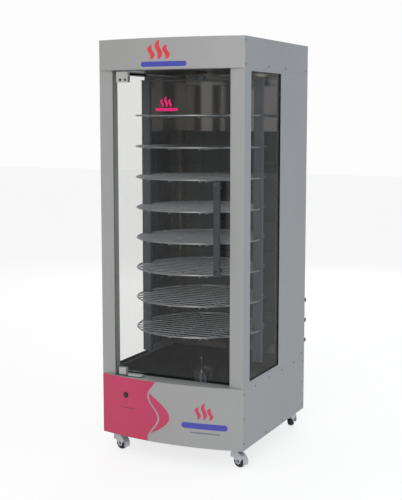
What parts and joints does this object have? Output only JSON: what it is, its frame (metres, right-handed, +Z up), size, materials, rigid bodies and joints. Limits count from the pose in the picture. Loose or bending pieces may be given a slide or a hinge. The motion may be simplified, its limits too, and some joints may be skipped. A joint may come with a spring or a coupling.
{
  "type": "rotisserie oven",
  "caption": "Tall gas rotisserie oven on casters: glazed cabinet with a bowed front, glass door and a turning tower of round wire shelves.",
  "frame": {"origin": "on the floor, under the middle of the cabinet (bottom centre of the box round the whole oven)", "axes": "+Z up, the door faces -Y, +X to the right of someone facing the door"},
  "size_m": [0.6441, 0.78, 1.7],
  "materials": {
    "painted_grey": "satin powder coat, warm light grey",
    "bright_steel": "bright finish stainless, fine grain",
    "galvanised": "dull zinc plated sheet",
    "dark_enamel": "black glossy enamel",
    "black_metal": "black satin paint",
    "shelf_wire": "nickel chrome plated wire, slightly dulled",
    "window_glass": "clear tempered glass, faint grey tint",
    "door_glass": "clear tempered glass",
    "chrome": "bright chrome",
    "black_rubber": "matte",
    "black_plastic": "fine texture",
    "dark_plastic": "fine texture",
    "brass": "machined",
    "burner": "dark ceramic tiles behind black mesh, in a black case",
    "motor": "satin black",
    "lamp": "frosted",
    "tyre": "smooth hard tread"
  },
  "bodies": {
    "cabinet": {"base_pan": "galvanised", "base_front": "painted_grey", "base_sides": "painted_grey", "side_panel_left": "painted_grey", "side_panel_right": "painted_grey", "front_pillars": "painted_grey", "header_front": "painted_grey", "roof_cover": "painted_grey", "ceiling_panel": "bright_steel", "back_panel": "painted_grey", "side_windows": "window_glass", "window_gaskets": "black_rubber", "inner_back_wall": "bright_steel", "cavity_lining_left": "bright_steel", "cavity_lining_right": "bright_steel", "burner_left": "burner", "burner_rear": "burner", "burner_right": "burner", "gas_pipework": "brass", "gas_valves": "brass", "cavity_floor": "dark_enamel", "spindle_pin": "bright_steel", "gearmotor": "motor", "drive_bush": "brass", "interior_lamp": "lamp", "door_pivots": "black_metal", "button_bezel": "black_plastic", "power_inlet": "black_plastic", "panel_screws": "chrome", "caster_plates": "chrome"},
    "door": {"door_glass": "door_glass", "door_clamps": "bright_steel", "handle_bar": "dark_plastic", "handle_posts": "dark_plastic", "door_screws": "black_metal"},
    "tower": {"carousel_head": "bright_steel", "carousel_uprights": "bright_steel", "shelf_1": "shelf_wire", "shelf_2": "shelf_wire", "shelf_3": "shelf_wire", "shelf_4": "shelf_wire", "shelf_5": "shelf_wire", "shelf_6": "shelf_wire", "shelf_7": "shelf_wire", "shelf_8": "shelf_wire"},
    "knob_1": {"gas_knob_1": "dark_plastic"},
    "knob_2": {"gas_knob_2": "dark_plastic"},
    "knob_3": {"gas_knob_3": "dark_plastic"},
    "start_button": {"push_button": "dark_plastic"},
    "swivel_fl": {"caster_fork_fl": "chrome"},
    "wheel_fl": {"caster_wheel_fl": "tyre"},
    "swivel_fr": {"caster_fork_fr": "chrome"},
    "wheel_fr": {"caster_wheel_fr": "tyre"},
    "swivel_rl": {"caster_fork_rl": "chrome"},
    "wheel_rl": {"caster_wheel_rl": "tyre"},
    "swivel_rr": {"caster_fork_rr": "chrome"},
    "wheel_rr": {"caster_wheel_rr": "tyre"},
    "pedal_fl": {"brake_pedal_fl": "chrome"},
    "pedal_fr": {"brake_pedal_fr": "chrome"}
  },
  "joints": [
    {"name": "door_swing", "type": "hinge", "parent": "cabinet", "child": "door", "pos_m": [-0.226, -0.347, 0.956], "axis": [0, 0, -1], "range_deg": [0, 110]},
    {"name": "tower_spin", "type": "hinge", "parent": "cabinet", "child": "tower", "pos_m": [0, -0.06, 0.956], "axis": [0, 0, 1], "continuous": true},
    {"name": "knob_1_turn", "type": "hinge", "parent": "cabinet", "child": "knob_1", "pos_m": [0.308, 0.356, 0.573], "axis": [0, -1, 0], "range_deg": [0, 180]},
    {"name": "knob_2_turn", "type": "hinge", "parent": "cabinet", "child": "knob_2", "pos_m": [0.308, 0.356, 0.481], "axis": [0, -1, 0], "range_deg": [0, 180]},
    {"name": "knob_3_turn", "type": "hinge", "parent": "cabinet", "child": "knob_3", "pos_m": [0.308, 0.356, 0.389], "axis": [0, -1, 0], "range_deg": [0, 180]},
    {"name": "button_press", "type": "slide", "parent": "cabinet", "child": "start_button", "axis": [0.1653, 0.9862, 0], "range_m": [0, 0.003], "stiffness_N_per_m": 400, "springref_m": -0.002},
    {"name": "swivel_fl_turn", "type": "hinge", "parent": "cabinet", "child": "swivel_fl", "pos_m": [-0.272, -0.3, 0.07], "axis": [0, 0, 1], "continuous": true},
    {"name": "wheel_fl_roll", "type": "hinge", "parent": "swivel_fl", "child": "wheel_fl", "pos_m": [-0.25461, -0.30466, 0.027], "axis": [0.2588, 0.9659, 0], "continuous": true},
    {"name": "swivel_fr_turn", "type": "hinge", "parent": "cabinet", "child": "swivel_fr", "pos_m": [0.272, -0.3, 0.07], "axis": [0, 0, 1], "continuous": true},
    {"name": "wheel_fr_roll", "type": "hinge", "parent": "swivel_fr", "child": "wheel_fr", "pos_m": [0.28939, -0.30466, 0.027], "axis": [0.2588, 0.9659, 0], "continuous": true},
    {"name": "swivel_rl_turn", "type": "hinge", "parent": "cabinet", "child": "swivel_rl", "pos_m": [-0.272, 0.3, 0.07], "axis": [0, 0, 1], "continuous": true},
    {"name": "wheel_rl_roll", "type": "hinge", "parent": "swivel_rl", "child": "wheel_rl", "pos_m": [-0.272, 0.318, 0.027], "axis": [-1, 0, 0], "continuous": true},
    {"name": "swivel_rr_turn", "type": "hinge", "parent": "cabinet", "child": "swivel_rr", "pos_m": [0.272, 0.3, 0.07], "axis": [0, 0, 1], "continuous": true},
    {"name": "wheel_rr_roll", "type": "hinge", "parent": "swivel_rr", "child": "wheel_rr", "pos_m": [0.272, 0.318, 0.027], "axis": [-1, 0, 0], "continuous": true},
    {"name": "pedal_fl_tip", "type": "hinge", "parent": "swivel_fl", "child": "pedal_fl", "pos_m": [-0.28456, -0.29663, 0.052], "axis": [0.2588, 0.9659, 0], "range_deg": [0, 18]},
    {"name": "pedal_fr_tip", "type": "hinge", "parent": "swivel_fr", "child": "pedal_fr", "pos_m": [0.25944, -0.29663, 0.052], "axis": [0.2588, 0.9659, 0], "range_deg": [0, 18]}
  ]
}
